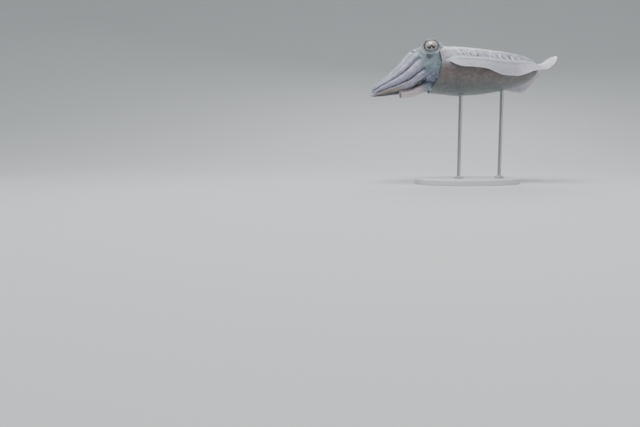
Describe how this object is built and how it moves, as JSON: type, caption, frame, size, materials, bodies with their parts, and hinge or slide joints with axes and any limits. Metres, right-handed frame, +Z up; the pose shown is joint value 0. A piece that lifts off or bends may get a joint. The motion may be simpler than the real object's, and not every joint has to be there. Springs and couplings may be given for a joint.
{
  "type": "common cuttlefish on a display stand",
  "caption": "Life-size swimming cuttlefish, banked, with its arms held together in a point and its fins in a wave, on a plain display stand.",
  "frame": {"origin": "centre of the stand's flat underside", "axes": "+X from the arms to the tail, -Y to the animal's left side, which the bank raises, +Z up"},
  "size_m": [0.4103, 0.1553, 0.3064],
  "materials": {
    "skin": "satin, moist look",
    "belly_skin": "satin, moist look",
    "pale_skin": "satin, moist look",
    "eye": "glossy",
    "stand_plate": "satin",
    "stand_rod": "brushed"
  },
  "bodies": {
    "root": {"mantle": "belly_skin", "head": "skin", "funnel": "pale_skin", "fin_left": "pale_skin", "eye_left": "eye", "arm_1_left_base": "skin", "arm_1_left_tip": "skin", "arm_2_left_base": "skin", "arm_2_left_tip": "skin", "arm_3_left_base": "skin", "arm_3_left_tip": "skin", "arm_4_left_base": "skin", "arm_4_left_tip": "skin", "fin_right": "pale_skin", "eye_right": "eye", "arm_1_right_base": "skin", "arm_1_right_tip": "skin", "arm_2_right_base": "skin", "arm_2_right_tip": "skin", "arm_3_right_base": "skin", "arm_3_right_tip": "skin", "arm_4_right_base": "skin", "arm_4_right_tip": "skin", "stand_base": "stand_plate", "stand_rod_front": "stand_rod", "stand_rod_rear": "stand_rod"}
  },
  "joints": []
}
